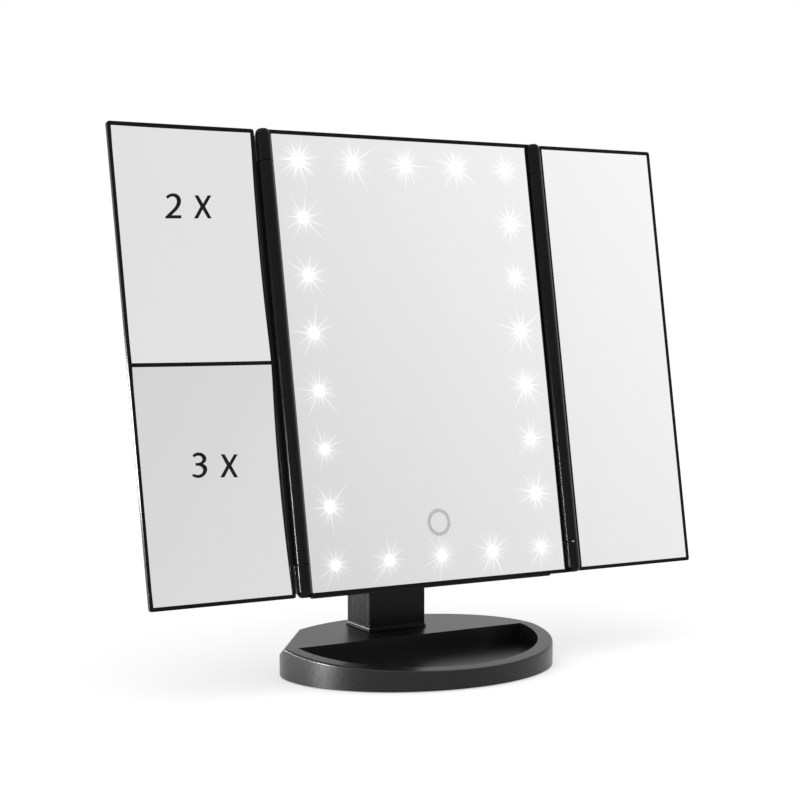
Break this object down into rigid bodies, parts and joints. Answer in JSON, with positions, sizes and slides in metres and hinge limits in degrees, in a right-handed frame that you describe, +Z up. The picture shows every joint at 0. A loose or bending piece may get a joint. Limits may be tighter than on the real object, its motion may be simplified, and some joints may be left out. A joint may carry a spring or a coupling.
{
  "type": "lighted makeup mirror",
  "caption": "Tri-fold lighted makeup mirror: centre mirror with a ring of lights and a touch control, folding side mirrors, battery box behind, tilting on a post over a tray base.",
  "frame": {"origin": "middle of the resting face, under the middle of the base", "axes": "+Z up, -Y towards the user, +X to the user's right"},
  "size_m": [0.3448, 0.1224, 0.2905],
  "materials": {
    "gloss_black_plastic": "glossy",
    "satin_black_plastic": "satin",
    "mirror_glass": "mirror",
    "rubber": "matte",
    "steel": "satin",
    "nickel": "polished",
    "diffuser_plastic": "matte",
    "white_board": "satin",
    "green_board": "satin",
    "battery_sleeve": "glossy"
  },
  "bodies": {
    "stand": {"base_shell": "gloss_black_plastic", "base_bottom_plate": "satin_black_plastic", "base_ballast": "steel", "base_foot_1": "rubber", "base_foot_2": "rubber", "base_foot_3": "rubber", "base_foot_4": "rubber", "base_screw_1": "steel", "base_screw_2": "steel", "base_screw_3": "steel", "base_screw_4": "steel", "post": "gloss_black_plastic", "post_screw_1": "steel", "post_screw_2": "steel", "tilt_bolt": "nickel", "tilt_nut": "nickel", "tilt_washer_left": "steel", "tilt_washer_right": "steel"},
    "head": {"front_frame": "gloss_black_plastic", "centre_mirror": "mirror_glass", "diffuser_sheet": "diffuser_plastic", "led_board_left": "white_board", "led_board_right": "white_board", "led_board_top": "white_board", "led_board_bottom": "white_board", "touch_sensor": "nickel", "control_board": "green_board", "usb_socket": "nickel", "switch_body": "satin_black_plastic", "rear_cover": "satin_black_plastic", "cover_screw_1": "steel", "cover_screw_2": "steel", "cover_screw_3": "steel", "cover_screw_4": "steel", "battery_contacts_bottom": "nickel", "battery_contacts_top": "nickel", "battery_cell_1": "battery_sleeve", "battery_cell_2": "battery_sleeve", "battery_cell_3": "battery_sleeve", "battery_cell_4": "battery_sleeve", "tilt_bracket": "satin_black_plastic", "bracket_screw_1": "steel", "bracket_screw_2": "steel", "hinge_pin_left_top": "steel", "hinge_pin_left_bottom": "steel", "hinge_pin_right_top": "steel", "hinge_pin_right_bottom": "steel"},
    "left_wing": {"left_wing_frame": "gloss_black_plastic", "mirror_2x": "mirror_glass", "mirror_3x": "mirror_glass"},
    "right_wing": {"right_wing_frame": "gloss_black_plastic", "mirror_right": "mirror_glass"},
    "battery_door": {"battery_door": "satin_black_plastic"},
    "switch_knob": {"switch_knob": "satin_black_plastic"}
  },
  "joints": [
    {"name": "head_tilt", "type": "hinge", "parent": "stand", "child": "head", "pos_m": [0, 0.03635, 0.097], "axis": [-1, 0, 0], "range_deg": [-20, 80]},
    {"name": "left_wing_fold", "type": "hinge", "parent": "head", "child": "left_wing", "pos_m": [-0.0864, -0.00359, 0.17008], "axis": [0, 0.1757, 0.9844], "range_deg": [0, 180]},
    {"name": "right_wing_fold", "type": "hinge", "parent": "head", "child": "right_wing", "pos_m": [0.0864, -0.00359, 0.17008], "axis": [0, -0.1757, -0.9844], "range_deg": [0, 180]},
    {"name": "battery_door_slide", "type": "slide", "parent": "head", "child": "battery_door", "axis": [0, 0.1757, 0.9844], "range_m": [0, 0.062]},
    {"name": "switch_slide", "type": "slide", "parent": "head", "child": "switch_knob", "axis": [0, -0.1757, -0.9844], "range_m": [0, 0.004]}
  ]
}
